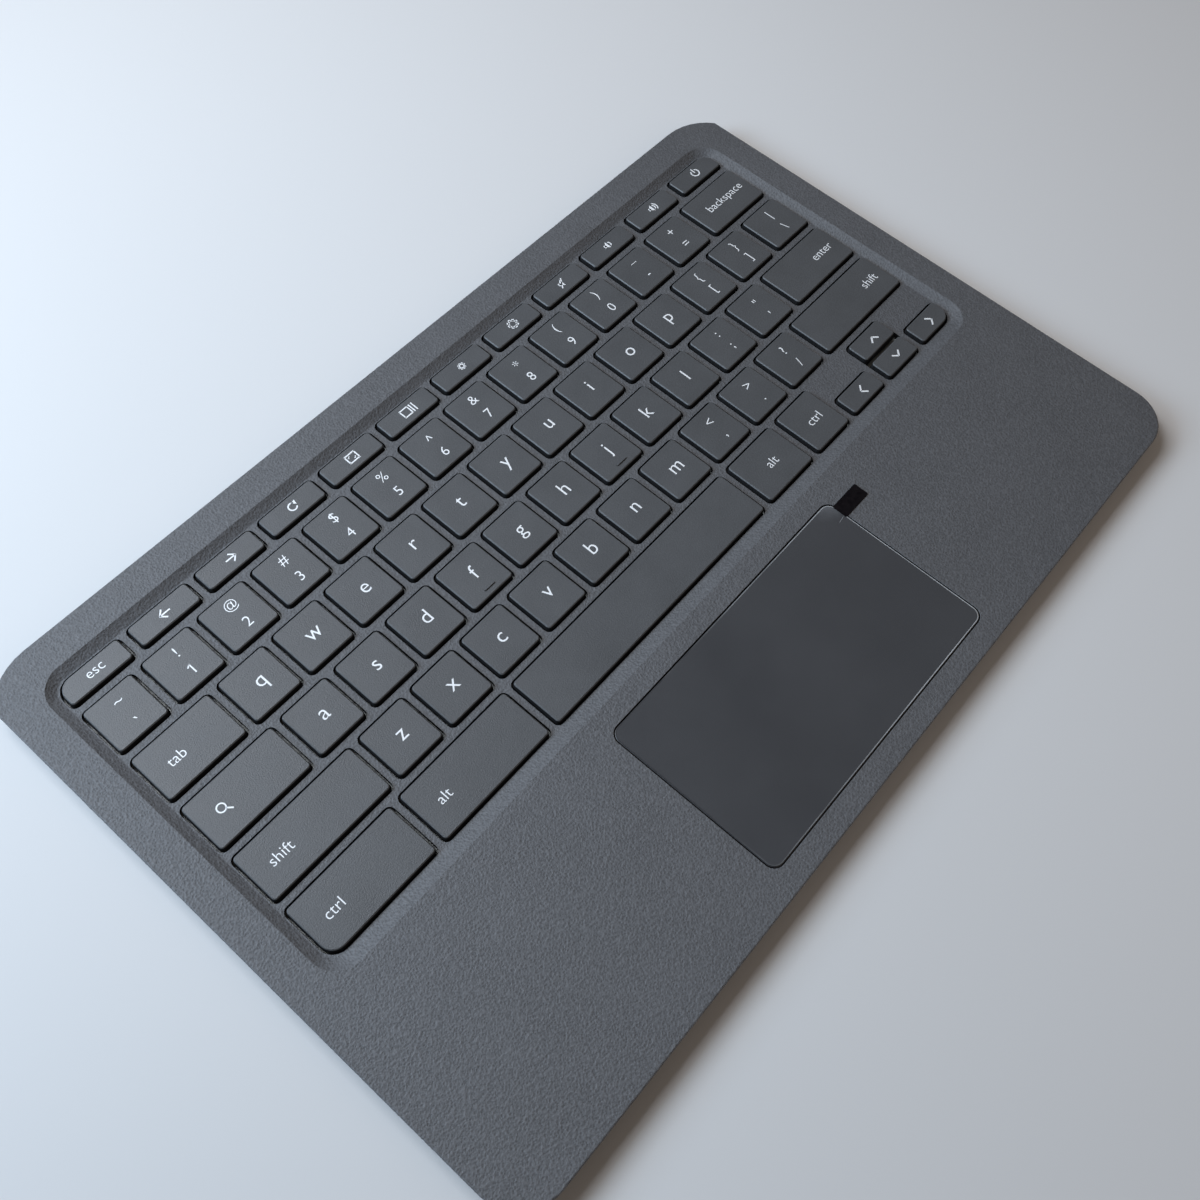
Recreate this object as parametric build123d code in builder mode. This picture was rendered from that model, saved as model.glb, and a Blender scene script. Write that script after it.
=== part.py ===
from build123d import *
from collections import namedtuple
from math import atan2, degrees, sqrt
import os

# Palmrest keyboard assembly of a small laptop: a moulded upper case with a sunken keyboard and a
# touchpad. Millimetres. The origin is under the middle of the case, on the plane that its screw
# bosses stand on; +X is to the typist's right, +Y to the back, +Z up.

# Key grid. A key of n units is n pitches wide, less the gap between key tops.
key_pitch = 18.7
key_gap = 3.5
function_key_depth = 7.05
bottom_key_depth = 16.3
backspace_units = 1.56
tab_units = 1.5
search_units = 1.75
left_shift_units = 2.25
left_ctrl_units = 2.03
left_alt_units = 2.23
space_units = 4.965
right_alt_units = 1.275
right_ctrl_units = 1.015
arrow_split = 1.8

# Keycaps: tapered shells, open below, with cut corners; four keys have a wider cut in the field's corners.
key_proud = 1.2
key_travel = 1.2
cap_flare = 0.37
cap_wall = 0.9
cap_top_wall = 1.1
cap_clearance = 0.2
corner_cut = 0.75
outer_cut = 2.3
opening_gap = 0.8

# Switch stack under the keys.
dome_height = 2.7
dome_base_radius = 2.1
dome_taper = 18.0
dome_sides = 6
link_width = 1.2
link_thickness = 0.8
link_clearance = 0.5
link_reach = 0.62
membrane_thickness = 0.3
base_plate_thickness = 0.5
frame_rib_wall = 1.2
frame_rib_clearance = 0.3
membrane_clearance = 0.4
base_plate_lip = 1.2
stake_width = 1.2
stake_head = 2.6
stake_head_height = 0.5
stake_clearance = 0.2
stake_spacing = 112.0
row_stakes = 3

# Upper case.
side_margin = 14.2
back_margin = 14.4
case_height = 7.0
case_corner = 13.0
back_corner = 19.3
back_corner_overhang = 3.7
plate_wall = 1.8
top_edge_break = 0.5
under_edge_break = 1.1
well_side_margin = 4.15
well_front_margin = 5.6
well_depth = 1.7
well_slope = 3.0
well_front_slope = 4.5
well_corner = 8.3
deck_corner = 4.2
deck_wall = 1.3
pan_wall = 1.3
rim_inset = 2.6
rim_wall = 1.2
rim_height = 3.7
boss_radius = 2.6
boss_sides = 8
boss_hole_radius = 1.0
boss_hole_depth = 3.5
front_boss_spacing = 136.0

# Touchpad, set in the palmrest in front of the keys.
pad_width = 97.0
pad_depth = 54.0
pad_corner = 3.0
pad_setback = 12.25
front_strip = 7.2
pad_gap = 0.35
pad_sink = 0.05
pad_thickness = 1.0
board_thickness = 1.0
board_inset = 2.0
switch_size = 5.0
switch_height = 0.6
switch_setback = 6.0
click_room = 0.95
bracket_thickness = 0.5
bracket_ear = 5.5
bracket_front_inset = 1.0
shelf_depth = 3.0
post_size = 3.0
post_inset = 9.0
film_thickness = 0.15
film_inset = 0.15
tab_length = 10.5
tab_width = 5.0
tab_setback = 2.3
tab_overlap = 0.5
tab_thickness = 0.15

os.makedirs("parts", exist_ok=True)

# Key names, row by row from the back.
function_names = "esc back forward reload full_screen overview dim bright mute quieter louder power".split()
number_names = "grave 1 2 3 4 5 6 7 8 9 0 minus equals".split()
upper_names = "q w e r t y u i o p left_bracket right_bracket".split()
home_names = "a s d f g h j k l semicolon quote".split()
lower_names = "z x c v b n m comma period slash".split()
arrow_columns = ["left_arrow", "arrow_pair", "right_arrow"]

# Overall plan, worked out from the keys outwards. Four full rows lie between the short rows.
full_rows = 4
key_size = key_pitch - key_gap
field_units = len(number_names) + backspace_units
field_width = field_units * key_pitch - key_gap
field_depth = function_key_depth + full_rows * key_pitch + key_gap + bottom_key_depth
palmrest_depth = pad_setback + pad_depth + front_strip
case_width = field_width + 2 * side_margin
case_depth = back_margin + field_depth + palmrest_depth
field_left = -field_width / 2
field_back = case_depth / 2 - back_margin
field_front = field_back - field_depth

# Heights, worked out from the palmrest downwards.
palm_under = case_height - plate_wall
deck_top = case_height - well_depth
deck_under = deck_top - deck_wall
key_top = deck_top + key_proud
cap_ceiling = key_top - cap_top_wall
membrane_top = cap_ceiling - dome_height
base_plate_top = membrane_top - membrane_thickness
base_plate_under = base_plate_top - base_plate_thickness
cap_bottom = membrane_top + key_travel + cap_clearance
cap_height = key_top - cap_bottom
cap_taper = degrees(atan2(cap_flare, cap_height))

# A 45-degree corner cut grows by this much for each millimetre that an outline is offset.
corner_growth = 2 - sqrt(2)

Key = namedtuple("Key", "name x y width depth outer")


def units(count):
    """Width of a key top that takes up this many key units."""
    return count * key_pitch - key_gap


def row_of_keys(back, depth, named_widths):
    """Keys laid side by side from the left edge of the field; `back` is the row's back edge."""
    row = []
    left = field_left
    for name, width in named_widths:
        row.append(Key(name, left + width / 2, back - depth / 2, width, depth, None))
        left += width + key_gap
    return row


def full_row(back, first, names, last):
    """A row of one-unit keys, with wider first keys, if any, and a last key that fills the row."""
    key_units = first + [(name, 1) for name in names]
    key_units += [(last, field_units - sum(count for _, count in key_units))]
    return row_of_keys(back, key_size, [(name, units(count)) for name, count in key_units])


# Rows from the back to the front.
function_width = (field_width + key_gap) / len(function_names) - key_gap
function_row = row_of_keys(
    field_back, function_key_depth, [(name, function_width) for name in function_names]
)
number_back = field_back - function_key_depth - key_gap
number_row = full_row(number_back, [], number_names, "backspace")
upper_letters = full_row(number_back - key_pitch, [("tab", tab_units)], upper_names, "backslash")
home_letters = full_row(number_back - 2 * key_pitch, [("search", search_units)], home_names, "enter")
lower_letters = full_row(
    number_back - 3 * key_pitch, [("left_shift", left_shift_units)], lower_names, "right_shift"
)

# Front row: full-depth keys, then three columns of arrows, half as deep. Up and down share a column.
front_units = [
    ("left_ctrl", left_ctrl_units),
    ("left_alt", left_alt_units),
    ("space", space_units),
    ("right_alt", right_alt_units),
    ("right_ctrl", right_ctrl_units),
]
arrow_units = (field_units - sum(count for _, count in front_units)) / len(arrow_columns)
front_back = number_back - full_rows * key_pitch
front_columns = row_of_keys(
    front_back,
    bottom_key_depth,
    [(name, units(count)) for name, count in front_units]
    + [(name, units(arrow_units)) for name in arrow_columns],
)
arrow_depth = (bottom_key_depth - arrow_split) / 2
arrow_front_y = field_front + arrow_depth / 2
arrow_back_y = front_back - arrow_depth / 2
front_row = []
for column in front_columns:
    if column.name == "arrow_pair":
        front_row.append(column._replace(name="up_arrow", y=arrow_back_y, depth=arrow_depth))
        front_row.append(column._replace(name="down_arrow", y=arrow_front_y, depth=arrow_depth))
    elif column.name.endswith("arrow"):
        front_row.append(column._replace(y=arrow_front_y, depth=arrow_depth))
    else:
        front_row.append(column)

# The keys in the four corners of the field have one wide outer corner.
function_row[0] = function_row[0]._replace(outer=(-1, 1))
function_row[-1] = function_row[-1]._replace(outer=(1, 1))
front_row[0] = front_row[0]._replace(outer=(-1, -1))
front_row[-1] = front_row[-1]._replace(outer=(1, -1))

pressed_rows = upper_letters + home_letters + lower_letters + front_row
all_keys = function_row + number_row + pressed_rows
deck_openings = [key for key in all_keys if key.name not in ("up_arrow", "down_arrow")]
deck_openings += [column for column in front_columns if column.name == "arrow_pair"]


def key_outline(key, grow, cut):
    """Plan of one key, grown on every side, with cut corners and, on an outer key, one wider cut."""
    width = key.width + 2 * grow
    depth = key.depth + 2 * grow
    with BuildSketch() as outline:
        with Locations((key.x, key.y)):
            Rectangle(width, depth)
        if key.outer:
            tip = (key.x + key.outer[0] * width / 2, key.y + key.outer[1] * depth / 2, 0)
            chamfer(outline.vertices().sort_by_distance(tip)[0], outer_cut + grow * corner_growth)
            if cut:
                chamfer(outline.vertices().sort_by_distance(tip)[2:], cut)
        elif cut:
            chamfer(outline.vertices(), cut)
    return outline.sketch


def keycap(key):
    """A moulded keycap: sides that lean in to the top, and a pocket for the dome and links below."""
    with BuildPart() as cap:
        with BuildSketch(Plane.XY.offset(cap_bottom)):
            add(key_outline(key, cap_flare, corner_cut))
        extrude(amount=cap_height, taper=cap_taper)
        with BuildSketch(Plane.XY.offset(cap_bottom)):
            add(key_outline(key, cap_flare - cap_wall, 0))
        extrude(amount=cap_ceiling - cap_bottom, mode=Mode.SUBTRACT)
    return cap.part


# Plan of the base plate and of the rib that frames it.
rib_margin = opening_gap + frame_rib_clearance
stake_line = rib_margin + frame_rib_wall / 2
frame_centre_y = (field_back + field_front) / 2


def frame_plan(margin):
    """Outline of the key field, with the outer keys' wide corners, grown by this much."""
    with BuildSketch() as plan:
        with Locations((0, frame_centre_y)):
            Rectangle(field_width + 2 * margin, field_depth + 2 * margin)
        chamfer(plan.vertices(), outer_cut + margin * corner_growth)
    return plan.sketch


def stake_plan(size):
    """Squares of this size where the stakes stand along the rib."""
    with BuildSketch() as plan:
        with Locations((0, frame_centre_y)):
            with GridLocations(stake_spacing, field_depth + 2 * stake_line, row_stakes, 2):
                Rectangle(size, size)
            with GridLocations(field_width + 2 * stake_line, 0, 2, 1):
                Rectangle(size, size)
    return plan.sketch


# Touchpad places.
pad_back = field_front - pad_setback
pad_y = pad_back - pad_depth / 2
pad_top = case_height - pad_sink
pad_under = pad_top - pad_thickness
board_under = pad_under - board_thickness
board_back = pad_back - board_inset
bracket_top = board_under - click_room
bracket_front = pad_y - pad_depth / 2 + bracket_front_inset
tilt_y = board_back - shelf_depth
post_x = pad_width / 2 + (pad_gap + bracket_ear) / 2
film_top = pad_top + film_thickness


def post_plan(size):
    """Squares of this size where the bracket posts stand beside the touchpad."""
    with BuildSketch() as plan:
        with Locations((0, pad_y)):
            with GridLocations(2 * post_x, pad_depth - 2 * post_inset, 2, 2):
                Rectangle(size, size)
    return plan.sketch


# Well places.
well_width = field_width + 2 * well_side_margin
well_length = field_depth + well_side_margin + well_front_margin
well_y = (field_back + well_side_margin + field_front - well_front_margin) / 2
deck_width = well_width - 2 * well_slope
deck_length = well_length - well_slope - well_front_slope
deck_y = well_y + (well_front_slope - well_slope) / 2

# Screw bosses stand against the inside of the rim, on the diagonals of the front corners and opposite them.
boss_inset = case_corner - (case_corner - rim_inset - rim_wall - boss_radius) / sqrt(2)
boss_x = case_width / 2 - boss_inset
boss_y = case_depth / 2 - boss_inset


def case_plan(inset):
    """Case outline drawn in by an inset; the straight sides cut off the wide arcs at the back corners."""
    with BuildSketch() as arcs:
        wide = Rectangle(case_width + 2 * (back_corner_overhang - inset), case_depth - 2 * inset)
        fillet(wide.vertices().group_by(Axis.Y)[-1], back_corner - inset)
    with BuildSketch() as plan:
        straight = Rectangle(case_width - 2 * inset, case_depth - 2 * inset)
        fillet(straight.vertices().group_by(Axis.Y)[0], case_corner - inset)
        add(arcs.sketch, mode=Mode.INTERSECT)
    return plan.sketch


def boss_plan(section):
    """One sketch copied to the six boss places."""
    with BuildSketch() as plan:
        with GridLocations(2 * boss_x, 2 * boss_y, 2, 2):
            add(section)
        with Locations((-front_boss_spacing / 2, -boss_y), (front_boss_spacing / 2, -boss_y)):
            add(section)
    return plan.sketch


# Upper case: plate with a sunken keyboard well, key openings, ribs, rim and bosses in one moulding.
with BuildPart() as top_case:
    with BuildSketch(Plane.XY.offset(palm_under)):
        add(case_plan(0))
    extrude(amount=plate_wall)
    chamfer(top_case.faces().sort_by(Axis.Z)[-1].edges(), top_edge_break)
    chamfer(top_case.faces().sort_by(Axis.Z)[0].edges(), under_edge_break)

    # Pan that carries the deck below the palmrest, and the well with its sloping walls.
    with BuildSketch(Plane.XY.offset(deck_under)):
        with Locations((0, well_y)):
            pan = Rectangle(well_width + 2 * pan_wall, well_length + 2 * pan_wall)
        chamfer(pan.vertices(), (well_corner + pan_wall) * corner_growth)
    extrude(amount=palm_under - deck_under)
    with BuildSketch(Plane.XY.offset(deck_top)):
        with Locations((0, deck_y)):
            RectangleRounded(deck_width, deck_length, deck_corner)
    with BuildSketch(Plane.XY.offset(case_height)):
        with Locations((0, well_y)):
            RectangleRounded(well_width, well_length, well_corner)
    loft(ruled=True, mode=Mode.SUBTRACT)

    # Openings for the keys and for the touchpad.
    with BuildSketch(Plane.XY.offset(deck_under)):
        for key in deck_openings:
            add(key_outline(key, opening_gap, 0))
    extrude(amount=deck_wall, mode=Mode.SUBTRACT)
    with BuildSketch(Plane.XY.offset(palm_under)):
        with Locations((0, pad_y)):
            RectangleRounded(pad_width + 2 * pad_gap, pad_depth + 2 * pad_gap, pad_corner + pad_gap)
    extrude(amount=plate_wall, mode=Mode.SUBTRACT)

    # Rib that seats the base plate, with stakes that are spread into heads below the plate.
    with BuildSketch(Plane.XY.offset(base_plate_top)):
        add(frame_plan(rib_margin + frame_rib_wall))
        add(frame_plan(rib_margin), mode=Mode.SUBTRACT)
    extrude(amount=deck_under - base_plate_top)
    with BuildSketch(Plane.XY.offset(base_plate_under)):
        add(stake_plan(stake_width))
    extrude(amount=base_plate_thickness)
    with BuildSketch(Plane.XY.offset(base_plate_under - stake_head_height)):
        add(stake_plan(stake_head))
    extrude(amount=stake_head_height)

    # Rim under the edge of the plate.
    with BuildSketch(Plane.XY.offset(palm_under - rim_height)):
        add(case_plan(rim_inset))
        add(case_plan(rim_inset + rim_wall), mode=Mode.SUBTRACT)
    extrude(amount=rim_height)

    # Posts that carry the touchpad bracket, with stakes through it.
    with BuildSketch(Plane.XY.offset(bracket_top)):
        add(post_plan(post_size))
    extrude(amount=palm_under - bracket_top)
    with BuildSketch(Plane.XY.offset(bracket_top - bracket_thickness)):
        add(post_plan(stake_width))
    extrude(amount=bracket_thickness)
    with BuildSketch(Plane.XY.offset(bracket_top - bracket_thickness - stake_head_height)):
        add(post_plan(stake_head))
    extrude(amount=stake_head_height)

    # Screw bosses, drilled from below.
    with BuildSketch() as boss_section:
        RegularPolygon(boss_radius, boss_sides, major_radius=False, rotation=180 / boss_sides)
    with BuildSketch() as boss_bore:
        Circle(boss_hole_radius)
    extrude(boss_plan(boss_section.sketch), amount=palm_under)
    extrude(boss_plan(boss_bore.sketch), amount=boss_hole_depth, mode=Mode.SUBTRACT)
top_case.part.label = "top_case"
export_step(top_case.part, "parts/top_case.step")

# Keyboard base plate: thin sheet metal on the rib, with a hole for each stake.
with BuildPart() as keyboard_base_plate:
    with BuildSketch(Plane.XY.offset(base_plate_under)):
        add(frame_plan(rib_margin + frame_rib_wall + base_plate_lip))
        add(stake_plan(stake_width + 2 * stake_clearance), mode=Mode.SUBTRACT)
    extrude(amount=base_plate_thickness)
keyboard_base_plate.part.label = "keyboard_base_plate"
export_step(keyboard_base_plate.part, "parts/keyboard_base_plate.step")

# Contact membrane: printed plastic film on the base plate, inside the rib.
with BuildPart() as membrane_sheet:
    with BuildSketch(Plane.XY.offset(base_plate_top)):
        add(frame_plan(rib_margin - membrane_clearance))
    extrude(amount=membrane_thickness)
membrane_sheet.part.label = "membrane_sheet"
export_step(membrane_sheet.part, "parts/membrane_sheet.step")

# Rubber domes: one under the middle of each key, from the membrane to the keycap's ceiling.
with BuildPart() as rubber_domes:
    with BuildSketch(Plane.XY.offset(membrane_top)):
        for key in all_keys:
            with Locations((key.x, key.y)):
                RegularPolygon(dome_base_radius, dome_sides)
    extrude(amount=dome_height, taper=dome_taper)
rubber_domes.part.label = "rubber_domes"
export_step(rubber_domes.part, "parts/rubber_domes.step")

# Scissor links: two plastic arms per key, leaning opposite ways on the two sides of the dome.
link_offset = dome_base_radius + link_clearance + link_width / 2
with BuildPart() as scissor_links:
    arms = []
    for key in all_keys:
        reach = link_reach * (key.depth + 2 * (cap_flare - cap_wall)) / 2
        for side in (-1, 1):
            foot = key.y - side * reach
            head = key.y + side * reach
            left = key.x + side * link_offset - link_width / 2
            with BuildSketch(Plane.YZ.offset(left), mode=Mode.PRIVATE) as arm:
                with BuildLine():
                    Polyline(
                        (foot, membrane_top),
                        (foot + side * link_thickness, membrane_top),
                        (head, cap_ceiling),
                        (head - side * link_thickness, cap_ceiling),
                        close=True,
                    )
                make_face()
            arms.append(extrude(arm.sketch, amount=link_width, mode=Mode.PRIVATE))
    add(arms)
scissor_links.part.label = "scissor_links"
export_step(scissor_links.part, "parts/scissor_links.step")

# Keycaps of the function row and of the number row, each row as one group.
with BuildPart() as function_row_keycaps:
    add([keycap(key) for key in function_row])
function_row_keycaps.part.label = "function_row_keycaps"
export_step(function_row_keycaps.part, "parts/function_row_keycaps.step")

with BuildPart() as number_row_keycaps:
    add([keycap(key) for key in number_row])
number_row_keycaps.part.label = "number_row_keycaps"
export_step(number_row_keycaps.part, "parts/number_row_keycaps.step")

# Keycaps of the letter rows and the front row, one piece each.
for key in pressed_rows:
    with BuildPart() as pressed_keycap:
        add(keycap(key))
    pressed_keycap.part.label = "key_" + key.name
    export_step(pressed_keycap.part, "parts/key_" + key.name + ".step")

# Touchpad surface: a smooth plate that fills the window in the palmrest.
with BuildPart() as touchpad_surface:
    with BuildSketch(Plane.XY.offset(pad_under)):
        with Locations((0, pad_y)):
            RectangleRounded(pad_width, pad_depth, pad_corner)
    extrude(amount=pad_thickness)
touchpad_surface.part.label = "touchpad_surface"
export_step(touchpad_surface.part, "parts/touchpad_surface.step")

# Touchpad board: circuit board bonded under the surface, with the click switch near its front.
with BuildPart() as touchpad_board:
    with BuildSketch(Plane.XY.offset(board_under)):
        with Locations((0, pad_y)):
            Rectangle(pad_width - 2 * board_inset, pad_depth - 2 * board_inset)
    extrude(amount=board_thickness)
    with BuildSketch(Plane.XY.offset(board_under - switch_height)):
        with Locations((0, pad_y - pad_depth / 2 + switch_setback)):
            Rectangle(switch_size, switch_size)
    extrude(amount=switch_height)
touchpad_board.part.label = "touchpad_board"
export_step(touchpad_board.part, "parts/touchpad_board.step")

# Touchpad bracket: bent sheet on the posts; the board tilts on the front edge of its raised shelf.
with BuildPart() as touchpad_bracket:
    with BuildSketch(Plane.YZ):
        with BuildLine():
            Polyline(
                (tilt_y, board_under),
                (tilt_y + shelf_depth, board_under),
                (tilt_y + shelf_depth, board_under - bracket_thickness),
                (tilt_y + bracket_thickness, board_under - bracket_thickness),
                (tilt_y + bracket_thickness, bracket_top - bracket_thickness),
                (bracket_front, bracket_top - bracket_thickness),
                (bracket_front, bracket_top),
                (tilt_y, bracket_top),
                close=True,
            )
        make_face()
    extrude(amount=pad_width / 2 + bracket_ear, both=True)
    with BuildSketch(Plane.XY.offset(bracket_top - bracket_thickness)):
        add(post_plan(stake_width + 2 * stake_clearance))
    extrude(amount=bracket_thickness, mode=Mode.SUBTRACT)
touchpad_bracket.part.label = "touchpad_bracket"
export_step(touchpad_bracket.part, "parts/touchpad_bracket.step")

# Protective film on the touchpad, and the tab to pull it off with.
with BuildPart() as touchpad_film:
    with BuildSketch(Plane.XY.offset(pad_top)):
        with Locations((0, pad_y)):
            RectangleRounded(pad_width - 2 * film_inset, pad_depth - 2 * film_inset, pad_corner - film_inset)
    extrude(amount=film_thickness)
touchpad_film.part.label = "touchpad_film"
export_step(touchpad_film.part, "parts/touchpad_film.step")

with BuildPart() as film_pull_tab:
    with BuildSketch(Plane.XY.offset(film_top)):
        with Locations((pad_width / 2 - tab_overlap, pad_back - tab_setback)):
            Rectangle(tab_length + tab_overlap, tab_width, align=(Align.MIN, Align.MAX))
    extrude(amount=tab_thickness)
film_pull_tab.part.label = "film_pull_tab"
export_step(film_pull_tab.part, "parts/film_pull_tab.step")
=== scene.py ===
from math import cos, pi, radians, sin

import bmesh
import bpy
from mathutils import Matrix, Vector


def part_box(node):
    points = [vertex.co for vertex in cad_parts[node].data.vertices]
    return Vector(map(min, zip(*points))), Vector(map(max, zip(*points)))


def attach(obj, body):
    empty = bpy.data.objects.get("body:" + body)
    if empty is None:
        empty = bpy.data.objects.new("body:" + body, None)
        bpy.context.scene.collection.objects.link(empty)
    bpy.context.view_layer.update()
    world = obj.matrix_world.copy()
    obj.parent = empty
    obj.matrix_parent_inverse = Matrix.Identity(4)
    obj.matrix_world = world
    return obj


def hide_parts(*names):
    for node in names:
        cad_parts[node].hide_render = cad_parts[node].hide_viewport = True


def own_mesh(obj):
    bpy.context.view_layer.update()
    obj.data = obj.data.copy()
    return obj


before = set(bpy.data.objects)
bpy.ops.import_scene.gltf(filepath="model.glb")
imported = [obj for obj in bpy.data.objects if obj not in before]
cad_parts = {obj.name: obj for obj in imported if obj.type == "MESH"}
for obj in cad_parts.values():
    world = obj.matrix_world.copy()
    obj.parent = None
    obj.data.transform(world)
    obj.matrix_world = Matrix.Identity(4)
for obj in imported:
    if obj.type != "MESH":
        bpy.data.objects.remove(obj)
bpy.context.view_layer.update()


# Upper case: one moulding in black plastic, with a fine leather-like grain and graphite paint on its face.
# The keys stand in openings in a deck that is sunk below the palmrest, and the touchpad in a window.
# A rim, a rib and screw bosses are moulded below it; the base plate is heat-staked to the rib.
# The walls of the openings and of the window are left near-black as painted shade inside these gaps.
cap_flare = 0.37
cap_corner = 1.05
field_corner = 4.0
key_gap = 3.5
key_width = 15.2


def key_plan(node):
    """Left, right, front and back edge of a key's top, or of a whole row, in millimetres."""
    low, high = (1000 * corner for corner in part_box(node))
    return low.x + cap_flare, high.x - cap_flare, low.y + cap_flare, high.y - cap_flare


def row_plans(node, count, width):
    """Plans of a row's keys from left to right; the last one fills what is left of the row."""
    left, right, front, back = key_plan(node)
    starts = [left + number * (width + key_gap) for number in range(count)]
    ends = [start + width for start in starts[:-1]] + [right]
    return [(start, end, front, back) for start, end in zip(starts, ends)]


pressed_keys = {node: key_plan(node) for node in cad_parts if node.startswith("key_")}
field_left, field_right, _, field_back = key_plan("function_row_keycaps")
field_front = pressed_keys["key_space"][2]
function_keys = row_plans("function_row_keycaps", 12, (field_right - field_left + key_gap) / 12 - key_gap)
number_keys = row_plans("number_row_keycaps", 14, key_width)


def round_plate(mesh, plan, height, grow, corner, outer_corner=None, segments=6):
    """A flat plate on a plan, grown on every side, with round corners and wider ones at the field's."""
    left, right, front, back = plan
    points = [(left, front), (right, front), (right, back), (left, back)]
    grown = [(left - grow, front - grow), (right + grow, front - grow),
             (right + grow, back + grow), (left - grow, back + grow)]
    tips = [mesh.verts.new((x, y, height)) for x, y in grown]
    mesh.faces.new(tips)
    field = [min(abs(x - field_left), abs(x - field_right)) + min(abs(y - field_front), abs(y - field_back))
             for x, y in points]
    outer = [tip for tip, off in zip(tips, field) if outer_corner and off < 0.01]
    inner = [tip for tip in tips if tip not in outer]
    rounded = bmesh.ops.bevel(mesh, geom=inner, affect="VERTICES", offset=corner, segments=segments,
                              profile=0.5, material=-1)
    if outer:
        rounded = bmesh.ops.bevel(mesh, geom=outer, affect="VERTICES", offset=outer_corner,
                                  segments=segments, profile=0.5, material=-1)
    return rounded["verts"][0].link_faces[0]


def round_loop(mesh, plan, height, grow, corner, segments=10):
    """The edges of a plate with round corners, without its face."""
    plate = round_plate(mesh, plan, height, grow, corner, segments=segments)
    edges = plate.edges[:]
    bmesh.ops.delete(mesh, geom=[plate], context="FACES_ONLY")
    return edges


def sink(mesh, plates, steps, slot=0):
    """Draws plates inwards and downwards (or upwards) step by step, with a wall left round them."""
    for inwards, upwards in steps:
        walls = bmesh.ops.inset_region(mesh, faces=plates, use_boundary=True, use_even_offset=True,
                                       thickness=inwards, depth=upwards)["faces"]
        for wall in walls:
            wall.material_index = slot


def close_level(mesh, height):
    """Fills all that is open at one height with a flat face."""
    edges = [edge for edge in mesh.edges
             if edge.is_boundary and all(abs(vert.co.z - height) < 0.0005 for vert in edge.verts)]
    bmesh.ops.triangle_fill(mesh, use_beauty=True, edges=edges, normal=(0, 0, 1))


def skirt(mesh, loops):
    """Walls between loops that follow each other."""
    for upper, lower in zip(loops, loops[1:]):
        bmesh.ops.bridge_loops(mesh, edges=upper + lower)


def rounding(radius, steps=3):
    """Steps inwards and downwards round an outside edge of this radius, from its top to its side."""
    turns = [pi / 2 * step / steps for step in range(steps + 1)]
    return [(radius * (sin(b) - sin(a)), radius * (cos(b) - cos(a))) for a, b in zip(turns, turns[1:])]


palm_top = 7.0
palm_under = 5.2
deck_top = 5.3
deck_under = 4.0
case_low, case_high = (1000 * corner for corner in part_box("top_case"))
case_plan = (case_low.x, case_high.x, case_low.y, case_high.y)
case_corner = 13.0
back_corner = 19.3
back_corner_overhang = 3.7
case = bmesh.new()


def case_loop(mesh, height, inset):
    """The case's edge at one height, drawn in by an inset; its sides cut off the wide arcs at the back."""
    left, right, front, back = case_plan
    overhang = back_corner_overhang - inset
    tips = [mesh.verts.new((x, y, height)) for x, y in (
        (left - overhang, front + inset), (right + overhang, front + inset),
        (right + overhang, back - inset), (left - overhang, back - inset))]
    mesh.faces.new(tips)
    bmesh.ops.bevel(mesh, geom=tips[2:], affect="VERTICES", offset=back_corner - inset, segments=10,
                    profile=0.5, material=-1)
    plate = tips[0].link_faces[0]
    for side, reach in ((-1, left + inset), (1, right - inset)):
        cut = bmesh.ops.bisect_plane(mesh, geom=[plate, *plate.edges, *plate.verts], plane_co=(reach, 0, 0),
                                     plane_no=(side, 0, 0), clear_outer=True)["geom_cut"]
        plate = cut[0].link_faces[0]
    fronts = [vert for vert in plate.verts if abs(vert.co.y - front - inset) < 0.001]
    arcs = bmesh.ops.bevel(mesh, geom=fronts, affect="VERTICES", offset=case_corner - inset, segments=10,
                           profile=0.5, material=-1)["verts"]
    plate = arcs[0].link_faces[0]
    edges = plate.edges[:]
    bmesh.ops.delete(mesh, geom=[plate], context="FACES_ONLY")
    return edges


# Outer edge: a rounded top edge, a narrow upright band and a bevel that tucks in below.
edge_break = 0.5
edge_loops = []
for turn in range(4):
    drop = edge_break * (1 - cos(pi / 6 * turn))
    edge_loops.append(case_loop(case, palm_top - drop, edge_break * (1 - sin(pi / 6 * turn))))
for height, tuck in ((6.36, 0.0), (6.24, 0.05), (palm_under, 1.1)):
    edge_loops.append(case_loop(case, height, tuck))
skirt(case, edge_loops)

# Well: flat walls that slope down to the deck, the one on the palmrest side longer, with crisp edges.
well_margin, well_front_margin = 4.15, 5.6
deck_margin, deck_front_margin = 1.15, 1.1
well_plan = (field_left - well_margin, field_right + well_margin,
             field_front - well_front_margin, field_back + well_margin)
deck_plan = (field_left - deck_margin, field_right + deck_margin,
             field_front - deck_front_margin, field_back + deck_margin)
well_corner, deck_corner = 8.3, 4.2
well_loops = []
wall_profile = [(0, 0), (0.03, 0.012), (0.07, 0.052), (0.3, 0.325),
                (0.55, 0.59), (0.8, 0.83), (0.95, 0.965), (1, 1)]
for run, drop in wall_profile:
    plan = [well + (deck - well) * run for well, deck in zip(well_plan, deck_plan)]
    corner = well_corner + (deck_corner - well_corner) * run
    well_loops.append(round_loop(case, plan, palm_top + (deck_top - palm_top) * drop, 0, corner))
skirt(case, well_loops)
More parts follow.
